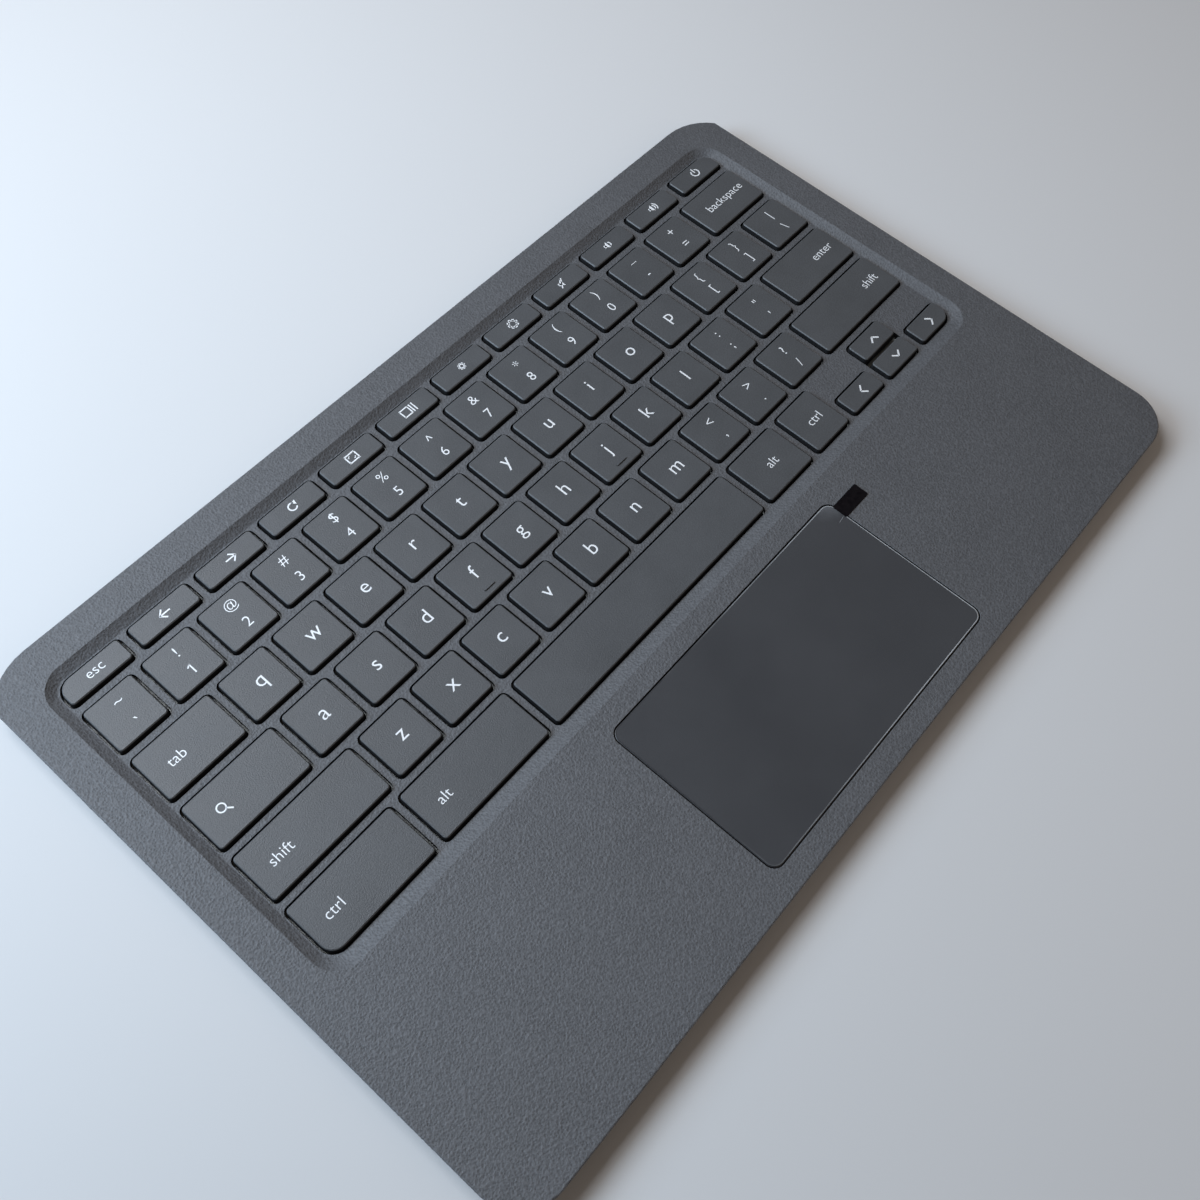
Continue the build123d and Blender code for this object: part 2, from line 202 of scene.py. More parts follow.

# Openings for the keys, and the touchpad's window, each with a slightly rounded upper edge; their walls below
# it take the near-black plastic as painted shade in the gaps.
opening_gap = 0.8
lip = 0.1
arrow_pair = pressed_keys["key_down_arrow"][:3] + pressed_keys["key_up_arrow"][3:]
openings = [plan for node, plan in pressed_keys.items() if node not in ("key_up_arrow", "key_down_arrow")]
openings += [arrow_pair] + function_keys + number_keys
wall_corner = cap_corner + opening_gap
field_wall_corner = field_corner + opening_gap
holes = [round_plate(case, plan, deck_top, opening_gap + lip, wall_corner + lip, field_wall_corner + lip)
         for plan in openings]
sink(case, holes, rounding(lip, 2))
sink(case, holes, [(0.001, deck_under - deck_top + lip)], slot=1)
bmesh.ops.delete(case, geom=holes, context="FACES_ONLY")
pad_low, pad_high = (1000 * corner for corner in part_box("touchpad_surface"))
pad_plan = (pad_low.x, pad_high.x, pad_low.y, pad_high.y)
pad_corner = 3.0
pad_gap = 0.35
window_lip = 0.15
window = [round_plate(case, pad_plan, palm_top, pad_gap + window_lip, pad_corner + pad_gap + window_lip)]
sink(case, window, rounding(window_lip, 2))
sink(case, window, [(0.001, palm_under - palm_top + window_lip)], slot=1)
bmesh.ops.delete(case, geom=window, context="FACES_ONLY")

# Pan below the palmrest that carries the deck, then the flat faces between all these edges.
pan_wall = 1.3
pan_corner = well_corner + pan_wall
pan_heights = (palm_under, deck_under)
skirt(case, [round_loop(case, well_plan, height, pan_wall, pan_corner) for height in pan_heights])
for height in (palm_top, deck_top, deck_under, palm_under):
    close_level(case, height)


def ring_wall(mesh, plan, grow, corner, thickness, low, high):
    """An upright wall of even thickness along a plan."""
    plate = round_plate(mesh, plan, low, grow, corner)
    wall = bmesh.ops.inset_region(mesh, faces=[plate], use_boundary=True, use_even_offset=True,
                                  thickness=thickness)["faces"]
    bmesh.ops.delete(mesh, geom=[plate], context="FACES_ONLY")
    raised = bmesh.ops.extrude_face_region(mesh, geom=wall, use_keep_orig=True)["geom"]
    upper = [part for part in raised if isinstance(part, bmesh.types.BMVert)]
    bmesh.ops.translate(mesh, vec=(0, 0, high - low), verts=upper)


def block(mesh, x, y, low, high, size, edge=0.0):
    """An upright square block, with its edges broken where it is a stake's head."""
    cube = bmesh.ops.create_cube(mesh, size=1)["verts"]
    bmesh.ops.scale(mesh, vec=(size, size, high - low), verts=cube)
    bmesh.ops.translate(mesh, vec=(x, y, (high + low) / 2), verts=cube)
    if edge:
        edges = list(dict.fromkeys(e for vert in cube for e in vert.link_edges))
        bmesh.ops.bevel(mesh, geom=edges, affect="EDGES", offset=edge, segments=2, profile=0.5, material=-1)


# Rim under the edge, rib round the key field, stakes for the base plate and for the touchpad bracket.
sunk = 0.05
rim_top, rim_foot = palm_under + sunk, 1.5
rim_slope = 0.05
rim_outside, rim_inside = 2.6, 3.8
rim_section = [(rim_top, rim_outside), (rim_foot, rim_outside),
               (rim_foot + rim_slope, rim_inside), (rim_top + rim_slope, rim_inside)]
rim = [case_loop(case, height, inset) for height, inset in rim_section]
skirt(case, rim + rim[:1])
field_plan = (field_left, field_right, field_front, field_back)
rib_reach, rib_wall, rib_foot = 2.3, 1.2, 2.4
ring_wall(case, field_plan, rib_reach, field_corner + rib_reach, rib_wall, rib_foot, deck_under + sunk)
stake_reach, stake_spacing = 1.7, 112
stake_x = field_right + stake_reach
stakes = [(x, y) for x in (-stake_spacing, 0, stake_spacing)
          for y in (field_front - stake_reach, field_back + stake_reach)]
stakes += [(x, (field_front + field_back) / 2) for x in (-stake_x, stake_x)]
stake_width, head_width, head_edge = 1.2, 2.6, 0.2
for x, y in stakes:
    block(case, x, y, 1.8, 2.5, stake_width)
    block(case, x, y, 1.4, 1.9, head_width, edge=head_edge)
bracket_stake_x, bracket_stake_front, bracket_stake_back = 51.425, -78.55, -42.55
pillar_width = 3.0
for x in (-bracket_stake_x, bracket_stake_x):
    for y in (bracket_stake_front, bracket_stake_back):
        block(case, x, y, 4.0, palm_under + sunk, pillar_width)
        block(case, x, y, 3.4, 4.1, stake_width)
        block(case, x, y, 3.0, 3.5, head_width, edge=head_edge)
boss_x, boss_y, boss_height = 140.2529, 86.4169, palm_under + sunk
boss_radius, front_boss_x = 2.65, 68
bosses = [(x, y) for x in (-boss_x, boss_x) for y in (-boss_y, boss_y)]
bosses += [(x, -boss_y) for x in (-front_boss_x, front_boss_x)]
for x, y in bosses:
    boss = bmesh.ops.create_cone(case, cap_ends=True, segments=24, radius1=boss_radius, radius2=boss_radius,
                                 depth=boss_height, matrix=Matrix.Translation((x, y, boss_height / 2)))
    faces = dict.fromkeys(face for vert in boss["verts"] for face in vert.link_faces)
    foot = [face for face in faces if face.normal.z < -0.9]
    sink(case, foot, [(0.15, 0.0), (1.5, 0.0), (0.001, -3.5)])
# Faces below the deck's top take the near-black plastic: bare moulding underneath, painted shade on the
# opening walls.
for face in case.faces:
    if face.calc_center_median().z < deck_top - 0.06:
        face.material_index = 1


class Wire:
    """One output of a material's node. Sums, differences and products of wires add Math nodes."""

    def __init__(self, output):
        self.output = output
        self.tree = output.id_data

    def feed(self, node, inputs):
        """Sets a node's sockets to values, or links them to wires."""
        for name, value in inputs.items():
            if isinstance(value, Wire):
                self.tree.links.new(value.output, node.inputs[name])
            else:
                node.inputs[name].default_value = value

    def node(self, kind, settings, inputs, output=0):
        """Adds a node, sets it up, feeds its sockets and gives one of its outputs."""
        made = self.tree.nodes.new(kind)
        stops = settings.pop("stops", [])
        for name, value in settings.items():
            setattr(made, name, value)
        for number, (position, colour) in enumerate(stops):
            ramp = made.color_ramp.elements
            stop = ramp[number] if number < 2 else ramp.new(position)
            stop.position, stop.color = position, (*colour, 1.0)
        self.feed(made, inputs)
        return Wire(made.outputs[output])

    def tones(self, low, dark, high, pale):
        """A colour that runs from one tone to another as this value rises."""
        return self.node("ShaderNodeValToRGB", {"stops": [(low, dark), (high, pale)]}, {"Fac": self}, "Color")

    def noise(self, scale, detail, **more):
        """Even noise over this place."""
        inputs = {"Vector": self, "Scale": scale, "Detail": detail, **more}
        return self.node("ShaderNodeTexNoise", {}, inputs, "Fac")

    def bumped(self, strength, distance):
        """A normal that follows this value as a height."""
        inputs = {"Height": self, "Strength": strength, "Distance": distance}
        return self.node("ShaderNodeBump", {}, inputs, "Normal")

    def combined(self, operation, first, second):
        return self.node("ShaderNodeMath", {"operation": operation}, {0: first, 1: second})

    def __add__(self, other):
        return self.combined("ADD", self, other)

    def __radd__(self, other):
        return self.combined("ADD", other, self)

    def __sub__(self, other):
        return self.combined("SUBTRACT", self, other)

    def __rsub__(self, other):
        return self.combined("SUBTRACT", other, self)

    def __mul__(self, other):
        return self.combined("MULTIPLY", self, other)

    def __rmul__(self, other):
        return self.combined("MULTIPLY", other, self)


def new_finish(name):
    """A material, its shader and the place of a point on the piece, in metres."""
    material = bpy.data.materials.new(name)
    material.use_nodes = True
    nodes = material.node_tree.nodes
    return material, nodes["Principled BSDF"], Wire(nodes.new("ShaderNodeTexCoord").outputs["Object"])


def finished(name, mesh, body, slot, *finishes):
    """Turns a closed mesh drawn in millimetres into a piece in metres that rides on its body."""
    bmesh.ops.recalc_face_normals(mesh, faces=mesh.faces)
    bmesh.ops.scale(mesh, vec=(0.001, 0.001, 0.001), verts=mesh.verts)
    shell = bpy.data.meshes.new(name)
    mesh.to_mesh(shell)
    mesh.free()
    for finish in finishes:
        shell.materials.append(finish)
    shell.polygons.foreach_set("use_smooth", [True] * len(shell.polygons))
    shell.set_sharp_from_angle(angle=radians(50))
    piece = bpy.data.objects.new(name, shell)
    bpy.context.scene.collection.objects.link(piece)
    weighted = piece.modifiers.new("weighted_normals", "WEIGHTED_NORMAL")
    weighted.keep_sharp = True
    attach(piece, body)
    return piece


case_paint, shader, place = new_finish("grained_graphite_paint")
cells = place.node("ShaderNodeTexVoronoi", {"feature": "SMOOTH_F1"},
                   {"Vector": place, "Scale": 1600.0, "Smoothness": 0.35, "Randomness": 1.0}, "Distance")
wrinkles = place.noise(1250.0, 2.0, Roughness=0.6, Distortion=0.8)
mottle = place.noise(60.0, 3.0)
grain = 0.6 * cells + 0.8 * wrinkles
place.feed(shader, {
    "Base Color": (0.8 * grain + 0.2 * mottle).tones(0.35, (0.084, 0.085, 0.089), 0.85, (0.142, 0.143, 0.15)),
    "Roughness": 0.5 + 0.12 * mottle,
    "Specular IOR Level": 0.45,
    "Normal": grain.bumped(0.95, 0.0002),
})
# Near-black plastic: the case's underside and the caps' own black, and painted shade where it lines the gaps.
black_plastic_and_gap_shade, shader, place = new_finish("black_plastic_and_painted_gap_shade")
flow = place.noise(1400.0, 2.0)
place.feed(shader, {
    "Base Color": flow.tones(0.3, (0.009, 0.009, 0.0095), 0.7, (0.016, 0.016, 0.017)),
    "Roughness": 0.5 + 0.16 * flow,
    "Specular IOR Level": 0.25,
    "Normal": flow.bumped(0.2, 0.00003),
})
top_case = finished("upper_case", case, "case", "case", case_paint, black_plastic_and_gap_shade)
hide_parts("top_case")


# Keycaps: moulded in black plastic with sides that lean in, painted satin grey over the top and its
# rounded edge, with white lower-case legends. Their near-black sides are partly the plastic's own colour
# and partly painted shade from the gaps round them. Each one clips to two links and sits on a rubber dome.
cap_bottom = 4.1
cap_top = 6.5
cap_ceiling = 5.4
cap_wall = 0.9
cap_edge = 0.31


def keycap(mesh, plan):
    """One cap with a pocket below, standing on its own plan."""
    base = round_plate(mesh, plan, cap_bottom, cap_flare, cap_corner + 0.3, field_corner + 0.3, segments=5)
    lean = cap_flare * (cap_top - cap_edge - cap_bottom) / (cap_top - cap_bottom)
    sides = [(lean, cap_top - cap_edge - cap_bottom)]
    sides += [(0.01, 0.04), (0.26, 0.26), (0.04, 0.01)]
    sink(mesh, [base], sides)
    mouth = cap_bottom + 0.03
    pocket = round_plate(mesh, plan, mouth, cap_flare - cap_wall, 0.5, field_corner - 0.6, segments=5)
    sink(mesh, [pocket], [(0.02, cap_ceiling - mouth)])
    rim = [edge for edge in mesh.edges if edge.is_boundary]
    bmesh.ops.bridge_loops(mesh, edges=rim)
    # Sides below the rounded edge take the near-black plastic: partly the cap's colour, partly painted shade.
    for face in mesh.faces:
        if max(vert.co.z for vert in face.verts) < cap_top - cap_edge + 0.001:
            face.material_index = 1


cap_paint, shader, place = new_finish("satin_key_paint")
speckle = place.noise(2600.0, 2.0, Roughness=0.6)
haze = place.noise(90.0, 3.0)
place.feed(shader, {
    "Base Color": (0.7 * speckle + 0.3 * haze).tones(0.3, (0.078, 0.08, 0.083), 0.75, (0.121, 0.124, 0.129)),
    "Roughness": 0.35 + 0.14 * haze,
    "Specular IOR Level": 0.5,
    "Normal": speckle.bumped(0.9, 0.00009),
})
legend_ink, shader, place = new_finish("white_legend_ink")
cover = place.noise(3000.0, 1.0)
place.feed(shader, {
    "Base Color": cover.tones(0.25, (0.92, 0.925, 0.93), 0.6, (0.98, 0.985, 0.99)),
    "Roughness": 0.5 + 0.15 * cover,
})

ink_top = cap_top + 0.02
ink_depth = 0.015


def print_word(mesh, word, x, y, size, align="middle", baseline=False):
    """Letters on a cap: centred on a point, or standing on a line and set left, middle or right."""
    curve = bpy.data.curves.new("letters", "FONT")
    curve.body, curve.size, curve.extrude, curve.resolution_u = word, size, ink_depth, 3
    curve.offset = -0.025
    text = bpy.data.objects.new("letters", curve)
    letters = bpy.data.meshes.new_from_object(text)
    ink = bmesh.new()
    ink.from_mesh(letters)
    bmesh.ops.remove_doubles(ink, verts=ink.verts, dist=0.0005)
    across = [vert.co.x for vert in ink.verts]
    along = [vert.co.y for vert in ink.verts]
    shift = {"left": min(across), "middle": (min(across) + max(across)) / 2, "right": max(across)}[align]
    rise = 0 if baseline else (min(along) + max(along)) / 2
    bmesh.ops.translate(ink, vec=(x - shift, y - rise, ink_top - ink_depth), verts=ink.verts)
    add_ink(mesh, ink)
    bpy.data.meshes.remove(letters)
    bpy.data.objects.remove(text)
    bpy.data.curves.remove(curve)


def add_ink(mesh, ink):
    """Joins printed shapes to their cap."""
    bmesh.ops.recalc_face_normals(ink, faces=ink.faces)
    for face in ink.faces:
        face.material_index = 2
    printed = bpy.data.meshes.new("printed")
    ink.to_mesh(printed)
    ink.free()
    mesh.from_mesh(printed)
    bpy.data.meshes.remove(printed)


def stroke(ink, x, y, length, width, angle=0.0):
    """A straight bar of ink, centred on a point and turned by degrees."""
    bar = bmesh.ops.create_cube(ink, size=1)["verts"]
    bmesh.ops.scale(ink, vec=(length, width, 2 * ink_depth), verts=bar)
    bmesh.ops.rotate(ink, cent=(0, 0, 0), matrix=Matrix.Rotation(radians(angle), 3, "Z"), verts=bar)
    bmesh.ops.translate(ink, vec=(x, y, ink_top - ink_depth), verts=bar)


def ring(ink, x, y, radius, width, start=0.0, sweep=360.0):
    """A ring of ink, or an arc of one with closed ends, round a point; angles in degrees."""
    section = [ink.verts.new((x + radius + side * width / 2, y, ink_top - ink_depth + level * ink_depth))
               for side, level in ((-1, -1), (1, -1), (1, 1), (-1, 1))]
    outline = [ink.edges.new(ends) for ends in zip(section, section[1:] + section[:1])]
    bmesh.ops.rotate(ink, cent=(x, y, 0), matrix=Matrix.Rotation(radians(start), 3, "Z"), verts=section)
    bmesh.ops.spin(ink, geom=section + outline, cent=(x, y, 0), axis=(0, 0, 1), dvec=(0, 0, 0),
                   angle=radians(sweep), steps=max(6, round(sweep / 15)), use_merge=sweep == 360.0)
    bmesh.ops.holes_fill(ink, edges=[edge for edge in ink.edges if edge.is_boundary], sides=4)


def wedge(ink, x, y, length, width, angle):
    """A triangle of ink whose base is centred on a point and whose tip lies at an angle in degrees."""
    tip = bmesh.ops.create_cone(ink, cap_ends=True, segments=3, radius1=1, radius2=1,
                                depth=2 * ink_depth)["verts"]
    bmesh.ops.rotate(ink, cent=(0, 0, 0), matrix=Matrix.Rotation(radians(-90), 3, "Z"), verts=tip)
    bmesh.ops.translate(ink, vec=(0.5, 0, 0), verts=tip)
    bmesh.ops.scale(ink, vec=(length / 1.5, width / 3 ** 0.5, 1), verts=tip)
    bmesh.ops.rotate(ink, cent=(0, 0, 0), matrix=Matrix.Rotation(radians(angle), 3, "Z"), verts=tip)
    bmesh.ops.translate(ink, vec=(x, y, ink_top - ink_depth), verts=tip)


def chevron(ink, x, y, turn):
    """An arrow head of two strokes that points to the right before it is turned."""
    for side in (-1, 1):
        across = Matrix.Rotation(radians(turn), 2) @ Vector((-0.05, side * 0.83))
        stroke(ink, x + across.x, y + across.y, 2.35, 0.55, turn - side * 45)


letter_size = 6.4
digit_size = 4.7
word_size = 4.25
printed_pairs = {
    "left_bracket": "{[", "right_bracket": "}]", "backslash": "|\\", "semicolon": ":;", "quote": "\"'",
    "comma": "<,", "period": ">.", "slash": "?/",
}
printed_words = {
    "tab": ("tab", "left", 5.7), "left_shift": ("shift", "left", 5.5), "left_ctrl": ("ctrl", "left", 5.4),
    "left_alt": ("alt", "left", 5.7), "enter": ("enter", "right", -3.1),
    "right_shift": ("shift", "right", -3.6),
}
turned_arrows = {"right_arrow": 0, "up_arrow": 90, "left_arrow": 180, "down_arrow": 270}


def print_pair(mesh, pair, x, y, upper, lower):
    """The shifted sign near the back of a cap, and the plain one near its front."""
    print_word(mesh, pair[0], x, y + upper, 0.88 * digit_size if pair[0] == "@" else digit_size)
    drop = lower - 0.9 if pair[1] in ",." else lower
    print_word(mesh, pair[1], x, y + drop, 1.25 * digit_size if pair[1] == "`" else digit_size)
    if pair[1] == "1":
        flag = bmesh.new()
        stroke(flag, x - 0.45, y + drop + 1.15, 1.25, 0.38, 38)
        add_ink(mesh, flag)


for node, plan in pressed_keys.items():
    left, right, front, back = plan
    x, y = (left + right) / 2, (front + back) / 2
    sign = node[len("key_"):]
    cap = bmesh.new()
    keycap(cap, plan)
    if len(sign) == 1:
        print_word(cap, sign, x + 0.55, y - 1.4, letter_size, baseline=True)
    elif sign in printed_pairs:
        print_pair(cap, printed_pairs[sign], x + 1.1, y, 3.2, -3.1)
    elif sign in printed_words:
        word, align, inset = printed_words[sign]
        edge = left if align == "left" else right
        print_word(cap, word, edge + inset, y - 1.4, word_size, align, baseline=True)
    elif sign in ("right_alt", "right_ctrl"):
        print_word(cap, sign[6:], x + 0.65, y - 1.4, word_size, baseline=True)
    elif sign in turned_arrows:
        ink = bmesh.new()
        chevron(ink, x + 0.8, y - 0.1, turned_arrows[sign])
        add_ink(cap, ink)
    elif sign == "search":
        ink = bmesh.new()
        ring(ink, left + 6.9, y + 0.5, 1.2, 0.4)
        stroke(ink, left + 8.4, y - 1.0, 1.85, 0.45, -45)
        add_ink(cap, ink)
    if sign in "fj":
        bar = bmesh.ops.create_cube(cap, size=1)["verts"]
        bmesh.ops.scale(cap, vec=(3.9, 0.55, 0.7), verts=bar)
        bmesh.ops.translate(cap, vec=(x + 0.3, y - 5.5, cap_top), verts=bar)
        # The bar's sides take the near-black plastic: painted shade that makes the bar read as a dark line.
        for side in {face for vert in bar for face in vert.link_faces if face.normal.z < 0.5}:
            side.material_index = 1
        edges = list(dict.fromkeys(edge for vert in bar for edge in vert.link_edges))
        bmesh.ops.bevel(cap, geom=edges, affect="EDGES", offset=0.12, segments=3, profile=0.5, material=-1)
    piece = finished(node + "_keycap", cap, node + "_cap", "keycap", cap_paint, black_plastic_and_gap_shade, legend_ink)
    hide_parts(node)


# Function and number rows: caps of the same make, in the two rows behind the letters. The function
# keys are half as deep and carry small picture signs; the number keys carry two signs each.
def speaker(ink, x, y):
    """A small box with a flared horn that opens to the right."""
    stroke(ink, x - 0.75, y, 0.9, 1.1)
    wedge(ink, x + 0.55, y, 1.6, 2.9, 180)


def sun(ink, x, y, radius, width, rays):
    """A ring with eight short rays."""
    ring(ink, x, y, radius, width)
    for number in range(8):
        angle = number * 45
        reach = radius + width / 2
        stroke(ink, x + reach * cos(radians(angle)), y + reach * sin(radians(angle)), rays, rays, angle)


def function_sign(ink, number, x, y):
    """The picture on one function key, counted from the left."""
    if number in (1, 2):
        side = 1 if number == 2 else -1
        stroke(ink, x, y, 3.3, 0.45)
        for slope in (-45, 45):
            stroke(ink, x + side * 0.95, y + 0.72 * (1 if slope * side < 0 else -1), 2.25, 0.45, slope)
    elif number == 3:
        ring(ink, x - 0.1, y, 1.25, 0.45, 40, 290)
        wedge(ink, x + 0.75, y + 0.55, 1.3, 1.7, 45)
    elif number in (4, 5):
        wide = 3.9 if number == 4 else 3.3
        x = x if number == 4 else x - 0.85
        for side in (-1, 1):
            stroke(ink, x, y + side * 1.4, wide, 0.42)
            stroke(ink, x + side * (wide / 2 - 0.21), y, 0.42, 2.8)
            if number == 4:
                stroke(ink, x + side * 0.75, y - side * 0.7, 0.75, 0.3)
                stroke(ink, x + side * 0.98, y - side * 0.5, 0.3, 0.7)
            else:
                stroke(ink, x + 2.75 + side * 0.5, y, 0.42, 3.2)
    elif number == 6:
        sun(ink, x, y, 0.8, 0.55, 0.5)
    elif number == 7:
        sun(ink, x, y, 1.25, 0.5, 0.75)
    elif number == 8:
        speaker(ink, x, y)
        stroke(ink, x + 0.1, y, 4.2, 0.42, 52)
    elif number in (9, 10):
        speaker(ink, x - 0.5, y)
        ring(ink, x - 0.1, y, 1.15, 0.4, -50, 100)
        if number == 10:
            ring(ink, x - 0.1, y, 1.95, 0.4, -50, 100)
    else:
        ring(ink, x, y - 0.1, 1.45, 0.42, 125, 290)
        stroke(ink, x, y + 0.95, 0.42, 2.0)


def row_of_caps(plans):
    """All the caps of one row in a single mesh; each is closed before it joins the others."""
    row = bmesh.new()
    for plan in plans:
        cap = bmesh.new()
        keycap(cap, plan)
        joined = bpy.data.meshes.new("cap")
        cap.to_mesh(joined)
        cap.free()
        row.from_mesh(joined)
        bpy.data.meshes.remove(joined)
    return row


row = row_of_caps(function_keys)
for number, (left, right, front, back) in enumerate(function_keys):
    x, y = (left + right) / 2 + 0.4, (front + back) / 2
    if number == 0:
        print_word(row, "esc", x, y - 0.85, word_size, baseline=True)
        continue
    ink = bmesh.new()
    function_sign(ink, number, x, y + 0.15)
    add_ink(row, ink)
piece = finished("function_row", row, "case", "keycap", cap_paint, black_plastic_and_gap_shade, legend_ink)
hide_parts("function_row_keycaps")

number_pairs = ["~`", "!1", "@2", "#3", "$4", "%5", "^6", "&7", "*8", "(9", ")0", "_-", "+="]
row = row_of_caps(number_keys)
for (left, right, front, back), pair in zip(number_keys, number_pairs):
    print_pair(row, pair, (left + right) / 2 + 0.7, (front + back) / 2, 3.7, -2.9)
left, right, front, back = number_keys[-1]
print_word(row, "backspace", right - 2.7, (front + back) / 2 - 0.8, word_size, "right", baseline=True)
piece = finished("number_row", row, "case", "keycap", cap_paint, black_plastic_and_gap_shade, legend_ink)
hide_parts("number_row_keycaps")


# Domes and links: under each key a moulded rubber dome stands on the membrane and pushes the cap back,
# between two black plastic arms that keep it level.
spring_foot = 2.7
spring_head = cap_ceiling - 0.02
dome_profile = [(0.0, spring_foot), (2.0, spring_foot), (2.0, 2.88), (1.72, 2.95), (1.6, 3.6), (1.35, 4.6),
                (1.1, 4.9), (0.9, 5.0), (0.88, spring_head), (0.0, spring_head)]
link_width = 1.2
link_thickness = 0.8
link_offset = 3.2
link_reach = 0.62
link_edge = 0.12


def dome(mesh, plan):
    """A bell with a foot and a flat top, turned about the middle of a key."""
    x, y = (plan[0] + plan[1]) / 2, (plan[2] + plan[3]) / 2
    points = [mesh.verts.new((x + radius, y, height)) for radius, height in dome_profile]
    outline = [mesh.edges.new(ends) for ends in zip(points, points[1:])]
    bmesh.ops.spin(mesh, geom=points + outline, cent=(x, y, 0), axis=(0, 0, 1), dvec=(0, 0, 0),
                   angle=2 * pi, steps=18, use_merge=True)
    bmesh.ops.remove_doubles(mesh, verts=mesh.verts, dist=0.0005)


def link_pair(mesh, plan):
    """Two arms that lean opposite ways on the two sides of a dome."""
    left, right, front, back = plan
    reach = link_reach * (back - front + 2 * (cap_flare - cap_wall)) / 2
    for side in (-1, 1):
        x = (left + right) / 2 + side * link_offset - link_width / 2
        foot, head = (front + back) / 2 - side * reach, (front + back) / 2 + side * reach
        corners = [(foot, spring_foot), (foot + side * link_thickness, spring_foot),
                   (head, spring_head), (head - side * link_thickness, spring_head)]
        profile = mesh.faces.new([mesh.verts.new((x, y, z)) for y, z in corners])
        arm = bmesh.ops.extrude_face_region(mesh, geom=[profile], use_keep_orig=True)["geom"]
        ends = [part for part in arm if isinstance(part, bmesh.types.BMVert)]
        bmesh.ops.translate(mesh, vec=(link_width, 0, 0), verts=ends)
        edges = dict.fromkeys(edge for vert in ends + profile.verts[:] for edge in vert.link_edges)
        slanting = [edge for edge in edges if abs(edge.verts[0].co.z - edge.verts[1].co.z) > link_thickness]
        bmesh.ops.bevel(mesh, geom=slanting, affect="EDGES", offset=link_edge, segments=2, profile=0.5,
                        material=-1)


dome_rubber, shader, place = new_finish("milky_dome_rubber")
cloud = place.noise(700.0, 2.0)
place.feed(shader, {
    "Base Color": cloud.tones(0.3, (0.55, 0.55, 0.52), 0.7, (0.64, 0.64, 0.61)),
    "Roughness": 0.55 + 0.15 * cloud,
})
link_plastic, shader, place = new_finish("black_link_plastic")
cloud = place.noise(1200.0, 2.0)
place.feed(shader, {
    "Base Color": cloud.tones(0.3, (0.014, 0.014, 0.016), 0.7, (0.024, 0.024, 0.026)),
    "Roughness": 0.35 + 0.2 * cloud,
})


def springs(name, plans):
    """The domes of some keys as one piece and their links as another."""
    domes, links = bmesh.new(), bmesh.new()
    for plan in plans:
        dome(domes, plan)
        link_pair(links, plan)
    rubber = finished(name + "_domes", domes, "case", "dome_rubber", dome_rubber)
    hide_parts("rubber_domes")
    arms = finished(name + "_links", links, "case", "link_plastic", link_plastic)
    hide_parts("scissor_links")
    return rubber, arms


for node, plan in pressed_keys.items():
    for piece in springs(node, [plan]):
        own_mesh(piece)
springs("upper_rows", function_keys + number_keys)


# Touchpad: a smooth, dark plate of moulded plastic with rounded edges, glued to its board. Both tip on
# the bracket's shelf, near the board's back edge, when the plate is pressed near its front.
pad = bmesh.new()
pad_edge = 0.22
plate = round_plate(pad, pad_plan, pad_low.z, 0, pad_corner, segments=8)
sink(pad, [plate], [(0.001, pad_high.z - pad_low.z - pad_edge)]
     + [(-drop, inwards) for inwards, drop in reversed(rounding(pad_edge, 3))])
close_level(pad, pad_low.z)
pad_plastic, shader, place = new_finish("smooth_pad_plastic")
sheen = place.noise(45.0, 4.0)
place.feed(shader, {
    "Base Color": sheen.tones(0.3, (0.033, 0.0325, 0.035), 0.7, (0.039, 0.0385, 0.041)),
    "Roughness": 0.34 + 0.1 * sheen,
})
piece = finished("touchpad_plate", pad, "touchpad", "touchpad", pad_plastic)
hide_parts("touchpad_surface")


# Protective film: a clear sheet laid over the touchpad for transport, with a black pull tab stuck to its
# right side. The tab's glue shows as a paler patch with a small crease beside it. The film's edge ring and
# the crease carry a whitish painted highlight that shows most towards the right and front.
film_low, film_high = (1000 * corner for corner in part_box("touchpad_film"))
film_plan = (film_low.x, film_high.x, film_low.y, film_high.y)
film_under = film_low.z + 0.02
film = bmesh.new()
plate = round_plate(film, film_plan, film_under, 0, pad_corner, segments=8)
# The ring at the film's edge takes the second finish, a painted highlight.
sink(film, [plate], [(0.001, film_high.z - film_under - 0.04), (0.04, 0.04), (0.26, 0.0)], slot=1)
close_level(film, film_under)
fold = bmesh.ops.create_cube(film, size=1)["verts"]
bmesh.ops.scale(film, vec=(2.4, 0.12, 0.12), verts=fold)
bmesh.ops.rotate(film, cent=(0, 0, 0), matrix=Matrix.Rotation(radians(8), 3, "Z"), verts=fold)
bmesh.ops.translate(film, vec=(46.4, -40.2, film_high.z - 0.06), verts=fold)
# The crease takes the same painted highlight.
for side in {face for vert in fold for face in vert.link_faces}:
    side.material_index = 1
clear_film, shader, place = new_finish("clear_film")
across = place.node("ShaderNodeSeparateXYZ", {}, {"Vector": place}, "X")
along = Wire(across.output.node.outputs["Y"])
waves = place.noise(30.0, 2.0)
smear = place.noise(260.0, 3.0)
corner_reach = (pad_plan[1] + pad_plan[3]) / 1000 - across - along + 0.008 * smear
patch = place.node("ShaderNodeMapRange", {"interpolation_type": "SMOOTHSTEP"}, {
    "Value": corner_reach, "From Min": 0.004, "From Max": 0.0135, "To Min": 1.0, "To Max": 0.0}, "Result")
place.feed(shader, {
    "Base Color": waves.tones(0.3, (0.3, 0.31, 0.33), 0.7, (0.36, 0.37, 0.39)),
    "Roughness": 0.12 + 0.1 * waves,
    "Alpha": 0.05 + 0.02 * waves + 0.17 * patch,
})
